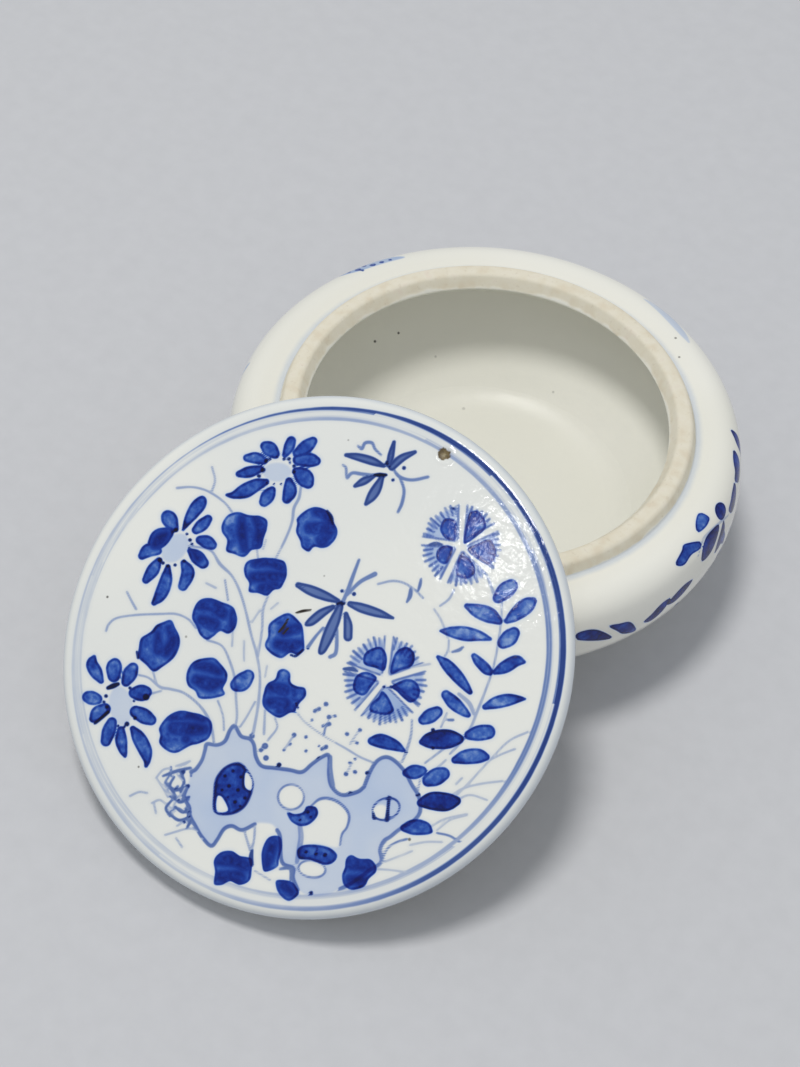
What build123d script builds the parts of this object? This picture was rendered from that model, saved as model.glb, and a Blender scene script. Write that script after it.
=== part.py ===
from build123d import *
from math import acos, atan2, cos, degrees, hypot, pi, radians, sin, sqrt, tan
import os

# A seal paste box of glazed porcelain: a low round box with a neck, and its flat lid.
# Millimetres, +Z up. The origin is on the box's axis, on the table that its foot stands on.
# The lid is off. Its rim stands on the table on the -Y side, and its underside leans on
# the box's shoulder.

# Box body, heights measured from the table
belly_radius = 40.2
belly_height_share = 0.4726
shoulder_rise_share = 0.1965
shoulder_radius = 4.0
side_arc_radius = 18.0
belly_turn_radius = 6.0
belly_turn_angle = 38.0
wall = 3.8

# Foot ring and recessed base
foot_inset = 15.2
foot_width = 2.6
foot_rise = 2.4
foot_edge_radius = 0.6
base_recess = 1.6
base_cove_share = 0.8

# Mouth and neck, the low ridge that the lid drops over
shoulder_width = 7.9
mouth_drop = 0.5
neck_rise = 2.1
neck_taper = 0.8
neck_width = 2.2
neck_slope = 1.3
neck_edge_radius = 0.85
mouth_edge_radius = 0.4

# Hollow for the paste
floor_thickness = 3.6
shoulder_thickness = 3.4
floor_corner_share = 0.4
cavity_corner_share = 0.5

# Lid, heights measured from its rim
lid_overhang = 5.7
plate_thickness = 4.4
crown_rise = 0.6
edge_radius = 1.6
rim_inset = 1.7
rim_corner_radius = 0.7
rim_inner_edge_radius = 0.5
recess_corner_radius = 1.0

# Fit and lean
neck_clearance = 0.7
neck_headroom = 0.3
lean_angle = 30.4
lean_gap = 0.15
table_gap = 0.05

# Radii and heights that follow from these
belly_height = belly_radius * belly_height_share
shoulder_rise = belly_radius * shoulder_rise_share
foot_radius = belly_radius - foot_inset
base_cove_radius = (base_recess - foot_edge_radius) * base_cove_share
neck_base_radius = belly_radius - shoulder_width
mouth_radius = neck_base_radius - neck_taper - neck_width - neck_slope
crest_height = belly_height + shoulder_rise
mouth_height = crest_height - mouth_drop
neck_top = mouth_height + neck_rise


def on_arc(centre, radius, angle):
    """The point of a circle at an angle in degrees, measured up from the outward direction."""
    return (centre[0] + radius * cos(radians(angle)), centre[1] + radius * sin(radians(angle)))


def direction(centre, point):
    """The angle in degrees at which a point lies, measured up from the outward direction."""
    return degrees(atan2(point[1] - centre[1], point[0] - centre[0]))


# Outer curves of the body: shoulder, side, belly turn and lower arc, each tangent to the next.
# The lower arc leaves the belly turn and comes down to the foot.
side_centre = (belly_radius - side_arc_radius, belly_height)
shoulder_height = crest_height - shoulder_radius
shoulder_reach = side_arc_radius - shoulder_radius
shoulder_lift = shoulder_height - belly_height
shoulder_centre = (
    side_centre[0] + sqrt(shoulder_reach**2 - shoulder_lift**2),
    shoulder_height,
)
side_angle = direction(side_centre, shoulder_centre)
turn_centre = (belly_radius - belly_turn_radius, belly_height)
turn_end = on_arc(turn_centre, belly_turn_radius, -belly_turn_angle)
foot_joint = (foot_radius, foot_rise)
foot_run = turn_end[0] - foot_joint[0]
foot_lift = turn_end[1] - foot_joint[1]
turn = radians(belly_turn_angle)
lower_arc_radius = (foot_run**2 + foot_lift**2) / 2 / (foot_run * cos(turn) - foot_lift * sin(turn))
lower_centre = on_arc(turn_end, -lower_arc_radius, -belly_turn_angle)
foot_joint_angle = direction(lower_centre, foot_joint)

# Foot, and the seat that runs from the neck to the shoulder as the shoulder's tangent
foot_outer_edge = (foot_radius, 0)
foot_inner_edge = (foot_radius - foot_width, 0)
base_edge = (foot_radius - foot_width, base_recess)
neck_base = (neck_base_radius, mouth_height)
seat_distance = hypot(neck_base[0] - shoulder_centre[0], neck_base[1] - shoulder_centre[1])
seat_angle = direction(shoulder_centre, neck_base) - degrees(acos(shoulder_radius / seat_distance))

# Inner curves of the body, one wall inside the outer ones
floor_height = base_recess + floor_thickness
ceiling_height = mouth_height - shoulder_thickness
inner_lower_radius = lower_arc_radius - wall
inner_turn_radius = belly_turn_radius - wall
inner_side_radius = side_arc_radius - wall
floor_drop = lower_centre[1] - floor_height
floor_corner = (
    lower_centre[0] + sqrt(inner_lower_radius**2 - floor_drop**2),
    floor_height,
)
floor_corner_angle = direction(lower_centre, floor_corner)
floor_corner_radius = floor_corner[0] * floor_corner_share
ceiling_lift = ceiling_height - side_centre[1]
ceiling_corner = (
    side_centre[0] + sqrt(inner_side_radius**2 - ceiling_lift**2),
    ceiling_height,
)
ceiling_angle = direction(side_centre, ceiling_corner)
lip_underside = (mouth_radius + shoulder_thickness, ceiling_height)
cavity_corner_radius = (ceiling_corner[0] - lip_underside[0]) * cavity_corner_share

# Neck section: a rounded ridge that tapers outside and slopes down to the mouth edge inside
neck_top_outer = (neck_base_radius - neck_taper, neck_top)
neck_top_inner = (neck_top_outer[0] - neck_width, neck_top)
mouth_edge = (mouth_radius, mouth_height)

# Lid section
lid_radius = neck_base_radius + lid_overhang
rim_outer_radius = lid_radius - rim_inset
rim_inner_radius = neck_base_radius + neck_clearance
recess_depth = neck_rise + neck_headroom
plate_height = recess_depth + plate_thickness
crown_height = plate_height + crown_rise
widest_height = plate_height - edge_radius
top_flat_radius = lid_radius - edge_radius
rim_outer_corner = (rim_outer_radius, 0)
rim_inner_corner = (rim_inner_radius, 0)
recess_corner = (rim_inner_radius, recess_depth)

# Lean: the rim's lowest corner stands on the table, and the recess leans on the box
lean = radians(lean_angle)
shoulder_support = (
    shoulder_centre[0] * sin(lean) + shoulder_centre[1] * cos(lean) + shoulder_radius
)
neck_support = neck_top_outer[0] * sin(lean) + neck_top * cos(lean)
box_support = max(shoulder_support, neck_support) + lean_gap
side_lean = atan2(rim_inset, widest_height)
rim_corner_reach = rim_outer_radius - rim_corner_radius * tan((pi / 2 - side_lean) / 2)
lid_height = (
    rim_corner_reach * sin(lean)
    - rim_corner_radius * cos(lean)
    + rim_corner_radius
    + table_gap
)
lid_offset = (box_support - recess_depth - lid_height * cos(lean)) / sin(lean)
lid_plane = Plane(
    origin=(0, -lid_offset, lid_height),
    x_dir=(1, 0, 0),
    z_dir=(0, -sin(lean), cos(lean)),
)
lid_section_plane = Plane(
    origin=lid_plane.origin, x_dir=lid_plane.x_dir, z_dir=-lid_plane.y_dir
)

os.makedirs("parts", exist_ok=True)

# Box
with BuildPart() as box:
    with BuildSketch(Plane.XZ) as box_section:
        # Outline from the base's centre round the outside and over the neck to the mouth
        with BuildLine():
            Polyline(
                (0, base_recess),
                base_edge,
                foot_inner_edge,
                foot_outer_edge,
                foot_joint,
            )
            ThreePointArc(
                foot_joint,
                on_arc(lower_centre, lower_arc_radius, (foot_joint_angle - belly_turn_angle) / 2),
                on_arc(lower_centre, lower_arc_radius, -belly_turn_angle),
            )
            ThreePointArc(
                on_arc(turn_centre, belly_turn_radius, -belly_turn_angle),
                on_arc(turn_centre, belly_turn_radius, -belly_turn_angle / 2),
                on_arc(turn_centre, belly_turn_radius, 0),
            )
            ThreePointArc(
                on_arc(side_centre, side_arc_radius, 0),
                on_arc(side_centre, side_arc_radius, side_angle / 2),
                on_arc(side_centre, side_arc_radius, side_angle),
            )
            ThreePointArc(
                on_arc(shoulder_centre, shoulder_radius, side_angle),
                on_arc(shoulder_centre, shoulder_radius, (side_angle + seat_angle) / 2),
                on_arc(shoulder_centre, shoulder_radius, seat_angle),
            )
            Polyline(
                on_arc(shoulder_centre, shoulder_radius, seat_angle),
                neck_base,
                neck_top_outer,
                neck_top_inner,
                mouth_edge,
                (0, mouth_height),
                (0, base_recess),
            )
        make_face()

        # Hollow: floor, rounded walls and the sloped underside of the lip
        with BuildLine():
            Line((0, floor_height), floor_corner)
            ThreePointArc(
                floor_corner,
                on_arc(
                    lower_centre,
                    inner_lower_radius,
                    (floor_corner_angle - belly_turn_angle) / 2,
                ),
                on_arc(lower_centre, inner_lower_radius, -belly_turn_angle),
            )
            ThreePointArc(
                on_arc(turn_centre, inner_turn_radius, -belly_turn_angle),
                on_arc(turn_centre, inner_turn_radius, -belly_turn_angle / 2),
                on_arc(turn_centre, inner_turn_radius, 0),
            )
            ThreePointArc(
                on_arc(side_centre, inner_side_radius, 0),
                on_arc(side_centre, inner_side_radius, ceiling_angle / 2),
                ceiling_corner,
            )
            Polyline(
                ceiling_corner,
                lip_underside,
                mouth_edge,
                (mouth_radius, neck_top),
                (0, neck_top),
                (0, floor_height),
            )
        make_face(mode=Mode.SUBTRACT)

        for corner, radius in (
            (foot_outer_edge, foot_edge_radius),
            (foot_inner_edge, foot_edge_radius),
            (base_edge, base_cove_radius),
            (neck_top_outer, neck_edge_radius),
            (neck_top_inner, neck_edge_radius),
            (mouth_edge, mouth_edge_radius),
            (lip_underside, cavity_corner_radius),
            (ceiling_corner, cavity_corner_radius),
            (floor_corner, floor_corner_radius),
        ):
            fillet(box_section.vertices().sort_by_distance(corner)[0], radius)
    revolve(axis=Axis.Z)
box.part.label = "box"

# Lid, modelled in its own leaning plane
with BuildPart() as lid:
    with BuildSketch(lid_section_plane) as lid_section:
        with BuildLine():
            TangentArc((0, crown_height), (top_flat_radius, plate_height), tangent=(1, 0))
            ThreePointArc(
                (top_flat_radius, plate_height),
                on_arc((top_flat_radius, widest_height), edge_radius, 45),
                (lid_radius, widest_height),
            )
            Polyline(
                (lid_radius, widest_height),
                rim_outer_corner,
                rim_inner_corner,
                recess_corner,
                (0, recess_depth),
                (0, crown_height),
            )
        make_face()
        for corner, radius in (
            (rim_outer_corner, rim_corner_radius),
            (rim_inner_corner, rim_inner_edge_radius),
            (recess_corner, recess_corner_radius),
        ):
            fillet(lid_section.vertices().sort_by_distance(corner)[0], radius)
    revolve(axis=Axis(lid_plane.origin, lid_plane.z_dir))
lid.part.label = "lid"

export_step(box.part, "parts/box.step")
export_step(lid.part, "parts/lid.step")
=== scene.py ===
from math import acos, atan2, cos, degrees, dist, pi, radians, sin, sqrt, tan

import bpy
import numpy as np
from mathutils import Matrix, Vector


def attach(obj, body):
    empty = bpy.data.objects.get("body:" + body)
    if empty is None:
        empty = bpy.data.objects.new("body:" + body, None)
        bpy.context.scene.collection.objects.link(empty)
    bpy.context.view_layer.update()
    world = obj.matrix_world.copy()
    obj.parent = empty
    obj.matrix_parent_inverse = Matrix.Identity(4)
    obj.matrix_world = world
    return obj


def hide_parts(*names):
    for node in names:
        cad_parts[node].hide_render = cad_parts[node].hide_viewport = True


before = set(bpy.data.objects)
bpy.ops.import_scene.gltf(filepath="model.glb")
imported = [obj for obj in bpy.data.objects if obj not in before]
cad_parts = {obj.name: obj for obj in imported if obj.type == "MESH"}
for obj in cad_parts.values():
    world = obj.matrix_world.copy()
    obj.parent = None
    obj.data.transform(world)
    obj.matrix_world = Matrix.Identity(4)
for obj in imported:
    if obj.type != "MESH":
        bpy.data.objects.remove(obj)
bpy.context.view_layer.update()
scene = bpy.context.scene
scene.view_settings.view_transform = "Standard"

MM = 0.001

# Box sizes in millimetres, as the solids have them
belly_radius = 40.2
belly_height = belly_radius * 0.4726
crest_height = belly_height + belly_radius * 0.1965
shoulder_radius = 4.0
side_arc_radius = 18.0
belly_turn_radius = 6.0
belly_turn_angle = 38.0
wall = 3.8
foot_radius = belly_radius - 15.2
foot_width = 2.6
foot_rise = 2.4
foot_edge_radius = 0.6
base_recess = 1.6
base_cove_radius = 0.8
neck_base_radius = belly_radius - 7.9
mouth_height = crest_height - 0.5
neck_rise = 2.1
neck_taper = 0.8
neck_width = 2.2
neck_slope = 1.3
neck_edge_radius = 0.85
mouth_edge_radius = 0.4
mouth_radius = neck_base_radius - neck_taper - neck_width - neck_slope
neck_top = mouth_height + neck_rise
floor_height = base_recess + 3.6
shoulder_thickness = 3.4
ceiling_height = mouth_height - shoulder_thickness

# Lid sizes in millimetres, heights measured from its rim
lid_radius = neck_base_radius + 5.7
recess_depth = neck_rise + 0.3
plate_height = recess_depth + 4.4
crown_rise = 0.6
crown_height = plate_height + crown_rise
edge_radius = 1.6
rim_outer_radius = lid_radius - 1.7
rim_inner_radius = neck_base_radius + 0.7
rim_corner_radius = 0.7
rim_inner_edge_radius = 0.5
recess_corner_radius = 1.0
top_flat_radius = lid_radius - edge_radius
widest_height = plate_height - edge_radius
lean = radians(30.4)
lean_gap = 0.15
table_gap = 0.05


def on_arc(centre, radius, angle):
    """The point of a circle at an angle in degrees."""
    a = radians(angle)
    return (centre[0] + radius * cos(a), centre[1] + radius * sin(a))


def direction(centre, point):
    """The angle in degrees at which a point lies."""
    return degrees(atan2(point[1] - centre[1], point[0] - centre[0]))


def arc(centre, radius, start, end, step):
    """Points along an arc, angles in degrees, about one step apart."""
    n = max(2, round(abs(radians(end - start)) * radius / step))
    return [on_arc(centre, radius, start + (end - start) * i / n) for i in range(n + 1)]


def line(a, b, step):
    """Points along a straight line, about one step apart."""
    n = max(1, round(dist(a, b) / step))
    return [(a[0] + (b[0] - a[0]) * i / n, a[1] + (b[1] - a[1]) * i / n) for i in range(n + 1)]


def rounded(before, corner, after, radius, count):
    """A corner between two straight lines, rounded by a radius."""
    c = np.array(corner)
    u, v = np.array(before) - c, np.array(after) - c
    u, v = u / np.linalg.norm(u), v / np.linalg.norm(v)
    half = acos(np.clip(u @ v, -1, 1)) / 2
    centre = c + (u + v) / np.linalg.norm(u + v) * radius / sin(half)
    start = c + u * radius / tan(half) - centre
    end = c + v * radius / tan(half) - centre
    first = direction((0, 0), start)
    turn = degrees(atan2(start[0] * end[1] - start[1] * end[0], start @ end))
    return [on_arc(centre, radius, first + turn * i / count) for i in range(count + 1)]


def joined(*runs):
    """One line of points from several, without doubled or crowded points."""
    least = 0.02
    out = []
    for run in runs:
        for p in run:
            if not out or dist(out[-1], p) > least:
                out.append(tuple(map(float, p)))
    return out


def inside_corner(centre, radius, height, fillet, up):
    """Fillet between a level line and the inside of an arc: its centre and its two ends."""
    z = height - fillet if up else height + fillet
    x = centre[0] + sqrt((radius - fillet) ** 2 - (z - centre[1]) ** 2)
    k = radius / (radius - fillet)
    return (x, z), (x, height), (centre[0] + (x - centre[0]) * k, centre[1] + (z - centre[1]) * k)


# Outer and inner curves of the box, as in the solids
side_centre = (belly_radius - side_arc_radius, belly_height)
shoulder_height = crest_height - shoulder_radius
shoulder_reach = side_arc_radius - shoulder_radius
shoulder_centre = (
    side_centre[0] + sqrt(shoulder_reach**2 - (shoulder_height - belly_height) ** 2),
    shoulder_height,
)
side_angle = direction(side_centre, shoulder_centre)
turn_centre = (belly_radius - belly_turn_radius, belly_height)
turn_end = on_arc(turn_centre, belly_turn_radius, -belly_turn_angle)
foot_joint = (foot_radius, foot_rise)
run = turn_end[0] - foot_joint[0]
rise = turn_end[1] - foot_joint[1]
turn = radians(belly_turn_angle)
lower_radius = (run**2 + rise**2) / 2 / (run * cos(turn) - rise * sin(turn))
lower_centre = on_arc(turn_end, -lower_radius, -belly_turn_angle)
neck_base = (neck_base_radius, mouth_height)
seat_angle = direction(shoulder_centre, neck_base) - degrees(
    acos(shoulder_radius / dist(shoulder_centre, neck_base))
)
neck_outer = (neck_base_radius - neck_taper, neck_top)
neck_inner = (neck_outer[0] - neck_width, neck_top)
mouth_edge = (mouth_radius, mouth_height)
lip_underside = (mouth_radius + shoulder_thickness, ceiling_height)
inner_lower = lower_radius - wall
inner_side = side_arc_radius - wall
inner_turn = belly_turn_radius - wall
floor_drop = lower_centre[1] - floor_height
floor_fillet = 0.4 * (lower_centre[0] + sqrt(inner_lower**2 - floor_drop**2))
ceiling_corner = side_centre[0] + sqrt(inner_side**2 - (ceiling_height - belly_height) ** 2)
cavity_fillet = 0.5 * (ceiling_corner - lip_underside[0])
floor_c, floor_end, floor_on = inside_corner(
    lower_centre, inner_lower, floor_height, floor_fillet, False
)
top_c, top_end, top_on = inside_corner(
    side_centre, inner_side, ceiling_height, cavity_fillet, True
)
foot_outer = (foot_radius, 0.0)
foot_inner = (foot_radius - foot_width, 0.0)
base_corner = (foot_radius - foot_width, base_recess)
pole = 0.4

# Section of the box from the base's centre round the outside and back to the floor's centre.
# The last number of each run is its step in millimetres, or the count of a corner's steps.
box_section = joined(
    line((pole, base_recess), (base_corner[0] - 1.0, base_recess), 3.5),
    rounded((0, base_recess), base_corner, foot_inner, base_cove_radius, 4),
    rounded(base_corner, foot_inner, foot_outer, foot_edge_radius, 4),
    rounded(foot_inner, foot_outer, foot_joint, foot_edge_radius, 4),
    line((foot_radius, 0.8), foot_joint, 0.5),
    arc(lower_centre, lower_radius, direction(lower_centre, foot_joint), -belly_turn_angle, 0.8),
    arc(turn_centre, belly_turn_radius, -belly_turn_angle, 0, 0.5),
    arc(side_centre, side_arc_radius, 0, side_angle, 0.45),
    arc(shoulder_centre, shoulder_radius, side_angle, seat_angle, 0.4),
    line(on_arc(shoulder_centre, shoulder_radius, seat_angle), neck_base, 0.4),
    line(neck_base, neck_outer, 0.25)[:3],
    rounded(neck_base, neck_outer, neck_inner, neck_edge_radius, 7),
    line(neck_outer, neck_inner, 0.3)[3:-2],
    rounded(neck_outer, neck_inner, mouth_edge, neck_edge_radius, 6),
    line(neck_inner, mouth_edge, 0.3)[3:-1],
    rounded(neck_inner, mouth_edge, lip_underside, mouth_edge_radius, 5),
    line(mouth_edge, lip_underside, 0.7)[1:-2],
    rounded(mouth_edge, lip_underside, top_end, cavity_fillet, 4),
    arc(top_c, cavity_fillet, 90, direction(top_c, top_on), 0.6),
    arc(side_centre, inner_side, direction(side_centre, top_on), 0, 1.3),
    arc(turn_centre, inner_turn, 0, -belly_turn_angle, 0.8),
    arc(lower_centre, inner_lower, -belly_turn_angle, direction(lower_centre, floor_on), 1.8),
    arc(floor_c, floor_fillet, direction(floor_c, floor_on), -90, 1.3),
    line(floor_end, (pole, floor_height), 4.0),
)

# Section of the lid from its top's edge round to the middle of its underside
widest = (lid_radius, widest_height)
rim_outer = (rim_outer_radius, 0)
rim_inner = (rim_inner_radius, 0)
recess = (rim_inner_radius, recess_depth)
lid_section = joined(
    arc((top_flat_radius, widest_height), edge_radius, 90, 0, 0.32),
    line(widest, rim_outer, 1.1)[:-1],
    rounded(widest, rim_outer, rim_inner, rim_corner_radius, 3),
    rounded(rim_outer, rim_inner, recess, rim_inner_edge_radius, 3),
    rounded(rim_inner, recess, (0, recess_depth), recess_corner_radius, 3),
    line((rim_inner_radius - recess_corner_radius, recess_depth), (0.6, recess_depth), 11.0),
)

# Where the lid lies: its rim on the table on the -Y side, its recess on the box's shoulder
box_support = (
    shoulder_centre[0] * sin(lean) + shoulder_centre[1] * cos(lean) + shoulder_radius + lean_gap
)
side_lean = atan2(lid_radius - rim_outer_radius, widest_height)
rim_reach = rim_outer_radius - rim_corner_radius * tan((pi / 2 - side_lean) / 2)
lid_height = rim_reach * sin(lean) + rim_corner_radius * (1 - cos(lean)) + table_gap
lid_offset = (box_support - recess_depth - lid_height * cos(lean)) / sin(lean)
lid_origin = np.array((0.0, -lid_offset, lid_height))
lid_axes = np.array(((1.0, 0.0, 0.0), (0.0, cos(lean), sin(lean)), (0.0, -sin(lean), cos(lean))))

# Camera of the photograph: focal length in pixels of the 800 x 1067 frame, angles in radians,
# offsets and distance in millimetres from the middle of the mouth
photo_width = 800.0
photo_height = 1067.0
focal = 2300.0
elevation = 0.8943
roll = 0.0695
azimuth = radians(28.2)
offset_right = 13.4837
offset_up = 17.6919
camera_distance = 354.95
flat_view = np.array((-sin(azimuth), cos(azimuth), 0.0))
straight_up = np.array((0.0, 0.0, 1.0))
forward = flat_view * cos(elevation) - straight_up * sin(elevation)
level_up = flat_view * sin(elevation) + straight_up * cos(elevation)
level_right = np.array((cos(azimuth), sin(azimuth), 0.0))
cam_right = cos(roll) * level_right + sin(roll) * level_up
cam_up = -sin(roll) * level_right + cos(roll) * level_up
eye = np.array((0.0, 0.0, mouth_height)) - (
    offset_right * cam_right + offset_up * cam_up + camera_distance * forward
)


def to_photo(points):
    """Pixels of the 800 x 1067 frame for points in millimetres."""
    q = points - eye
    depth = q @ forward
    x = photo_width / 2 + focal * (q @ cam_right) / depth
    y = photo_height / 2 - focal * (q @ cam_up) / depth
    return np.stack((x, y), axis=1)


# Brush work. A distance of FAR or more is unpainted. FINE is the half width where none is given.
FAR = 9.0
FINE = 1.2
WASH, FILL, DARK, LINE = range(4)


def listed(text):
    """One row from text: numbers with commas between them, and spaces between points."""
    return [tuple(map(float, point.split(","))) for point in text.split()]


def rows(data):
    """Rows of points from texts, with ; between rows, or from lists."""
    out = []
    for item in data:
        out += map(listed, item.split(";")) if isinstance(item, str) else [item]
    return out


def smooth_path(points, closed=False, steps=6):
    """A curve through rows of numbers, its tangents taken from the neighbours."""
    p = np.array(points, float)
    if closed:
        p = np.vstack((p[-1], p, p[0], p[1]))
    elif len(p) == 2:
        return p
    else:
        p = np.vstack((2 * p[0] - p[1], p, 2 * p[-1] - p[-2]))
    t = np.linspace(0, 1, steps, endpoint=False)[:, None]
    out = []
    for a, b, c, d in zip(p[:-3], p[1:-2], p[2:-1], p[3:]):
        bend = t**2 * (a - 2.5 * b + 2 * c - d / 2) + t**3 * (1.5 * (b - c) + (d - a) / 2)
        out.append(b + t * (c - a) / 2 + bend)
    if not closed:
        out.append(p[-2:-1])
    return np.vstack(out)


def to_segment(q, a, b):
    """For points q, their place along the line from a to b, 0 to 1, and their distance to it."""
    ab = b - a
    t = np.clip(((q - a) @ ab) / max(ab @ ab, 1e-9), 0, 1)
    return t, np.hypot(*(q - a - t[:, None] * ab).T)


class Painting:
    """Signed distance to the nearest stroke and that stroke's tone, for four layers of pigment."""

    def __init__(self, flat, usable):
        self.flat = flat
        self.usable = usable
        self.depth = np.full((len(flat), 4), FAR)
        self.tone = np.zeros((len(flat), 4))
        self.marks = np.full((len(flat), 4), FAR)

    def near(self, low, high):
        """The points within reach of a box."""
        inside = (self.flat > np.array(low) - FAR) & (self.flat < np.array(high) + FAR)
        return np.nonzero(self.usable & inside.all(axis=1))[0]

    def put(self, at, d, layer, tone):
        """Lays one stroke over the layer, where it is the nearest."""
        better = d < self.depth[at, layer]
        self.depth[at[better], layer] = d[better]
        self.tone[at[better], layer] = np.broadcast_to(tone, d.shape)[better]

    def brush_distance(self, points):
        p = smooth_path([q if len(q) == 3 else (*q, FINE) for q in points])
        xy, w = p[:, :2], p[:, 2]
        at = self.near(xy.min(0) - w.max(), xy.max(0) + w.max())
        best = np.full(len(at), FAR * 2)
        for i in range(len(xy) - 1):
            t, d = to_segment(self.flat[at], xy[i], xy[i + 1])
            best = np.minimum(best, d - (w[i] + t * (w[i + 1] - w[i])))
        return at, best

    def blot_distance(self, points):
        xy = smooth_path(points, closed=True)
        at = self.near(xy.min(0), xy.max(0))
        q = self.flat[at]
        best = np.full(len(at), FAR * 2)
        inside = np.zeros(len(at), bool)
        for a, b in zip(xy, np.roll(xy, -1, axis=0)):
            best = np.minimum(best, to_segment(q, a, b)[1])
            if a[1] != b[1]:
                crosses = (a[1] > q[:, 1]) != (b[1] > q[:, 1])
                x = a[0] + (q[:, 1] - a[1]) * (b[0] - a[0]) / (b[1] - a[1])
                inside ^= crosses & (q[:, 0] < x)
        return at, np.where(inside, -best, best)

    def brush(self, layer, tone, *strokes):
        for stroke in rows(strokes):
            self.put(*self.brush_distance(stroke), layer, tone)

    def blot(self, layer, tone, *shapes):
        for shape in rows(shapes):
            self.put(*self.blot_distance(shape), layer, tone)

    def outline(self, layer, tone, half_width, *shapes):
        for shape in rows(shapes):
            at, d = self.blot_distance(shape)
            self.put(at, np.abs(d) - half_width, layer, tone)

    def clear(self, layers, *shapes):
        """Leaves a shape unpainted in some layers."""
        for shape in rows(shapes):
            at, d = self.blot_distance(shape)
            for layer in layers:
                self.depth[at, layer] = np.maximum(self.depth[at, layer], -d)

    def dots(self, layer, tone, spots):
        for x, y, r in listed(spots):
            at = self.near((x - r, y - r), (x + r, y + r))
            self.put(at, np.hypot(*(self.flat[at] - (x, y)).T) - r + 0.5, layer, tone)

    def mark(self, channel, at, d):
        self.marks[at, channel] = np.minimum(self.marks[at, channel], d)

    def attributes(self):
        """What the materials read from the mesh, distances from -FAR to FAR as 0 to 1."""
        depth, marks = (d / FAR * 0.5 + 0.5 for d in (self.depth, self.marks))
        return {"paint_depth": depth, "paint_tone": self.tone, "marks": marks}


def ring_of(cx, cy, rx, ry, angle, count=12):
    """Points round an oval, its long axis at an angle in degrees, y down."""
    a = radians(angle)
    oval = [(rx * cos(2 * pi * i / count), ry * sin(2 * pi * i / count)) for i in range(count)]
    return [(cx + x * cos(a) - y * sin(a), cy + x * sin(a) + y * cos(a)) for x, y in oval]


def add_object(name, data):
    obj = bpy.data.objects.new(name, data)
    scene.collection.objects.link(obj)
    return obj


def make_mesh(name, verts, faces, attributes):
    """A smooth mesh object from points in millimetres; points without attributes get 1."""
    mesh = bpy.data.meshes.new(name)
    mesh.from_pydata((np.asarray(verts) * MM).tolist(), [], faces)
    mesh.validate()
    mesh.polygons.foreach_set("use_smooth", [True] * len(mesh.polygons))
    for key, values in attributes.items():
        values = np.vstack((values, np.ones((len(verts) - len(values), 4))))
        layer = mesh.attributes.new(key, "FLOAT_COLOR", "POINT")
        layer.data.foreach_set("color", values.ravel())
    mesh.update()
    return add_object(name, mesh)


def disc_grid(n):
    """A square grid of n by n cells pulled into a disc of radius 1, and its border in order."""
    k = np.linspace(-1, 1, n + 1)
    u, v = np.meshgrid(k, k, indexing="ij")
    big = np.maximum(np.abs(u), np.abs(v))
    wide = np.abs(u) > np.abs(v)
    angle = (np.pi / 4) * np.where(wide, v, u) / np.where(big > 0, big, 1)
    x = np.where(wide, np.sign(u) * big * np.cos(angle), big * np.sin(angle))
    y = np.where(wide, big * np.sin(angle), np.sign(v) * big * np.cos(angle))
    at = np.arange((n + 1) ** 2).reshape(n + 1, n + 1)
    quads = np.stack((at[:-1, :-1], at[1:, :-1], at[1:, 1:], at[:-1, 1:]), axis=-1)
    border = np.concatenate((at[n, :-1], at[:0:-1, n], at[0, :0:-1], at[:-1, 0]))
    return np.stack((x.ravel(), y.ravel()), axis=1), quads.reshape(-1, 4).tolist(), border


def bands(first, count, sectors):
    """Quads between rings of points that follow each other."""
    at = first + np.arange(count * sectors).reshape(count, sectors)
    after = np.roll(at, -1, axis=1)
    return np.stack((at[:-1], at[1:], after[1:], after[:-1]), axis=-1).reshape(-1, 4).tolist()


def fan(ring, centre, turned):
    """Triangles from a ring of points to one point."""
    after = np.roll(ring, -1)
    c = np.full(len(ring), centre)
    return np.stack((after, ring, c) if turned else (ring, after, c), axis=1).tolist()


# Lid mesh: a fine grid for the painted top, then rings round the edge and under the rim
lid_cells = 276
grid_xy, lid_faces, border = disc_grid(lid_cells)
crown_radius = (top_flat_radius**2 + crown_rise**2) / 2 / crown_rise
top_xy = grid_xy * top_flat_radius
top_r = np.hypot(*top_xy.T)
top_z = crown_height - crown_radius + np.sqrt(crown_radius**2 - top_r**2)
rim_x, rim_y = top_xy[border].T / top_flat_radius
rings = [
    np.stack((r * rim_x, r * rim_y, np.full(len(border), z)), axis=1) for r, z in lid_section[1:]
]
lid_local = np.vstack([np.column_stack((top_xy, top_z)), *rings, [[0, 0, recess_depth]]])
first_ring = len(top_xy) + np.arange(len(border))
seam = (border, first_ring, np.roll(first_ring, -1), np.roll(border, -1))
lid_faces += np.stack(seam, axis=1).tolist()
lid_faces += bands(len(top_xy), len(rings), len(border))
lid_faces += fan(first_ring + (len(rings) - 1) * len(border), len(lid_local) - 1, True)
lid_verts = lid_origin + lid_local @ lid_axes
lid_flat = to_photo(lid_verts)
lid_r = np.hypot(lid_local[:, 0], lid_local[:, 1])
lid_z = lid_local[:, 2].copy()
on_top = (lid_z > widest_height + 0.2) & (lid_r < lid_radius)

# Lid painting, in pixels of the photograph's 800 x 1067 frame: x, y, half width
top = Painting(lid_flat, on_top)

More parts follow.
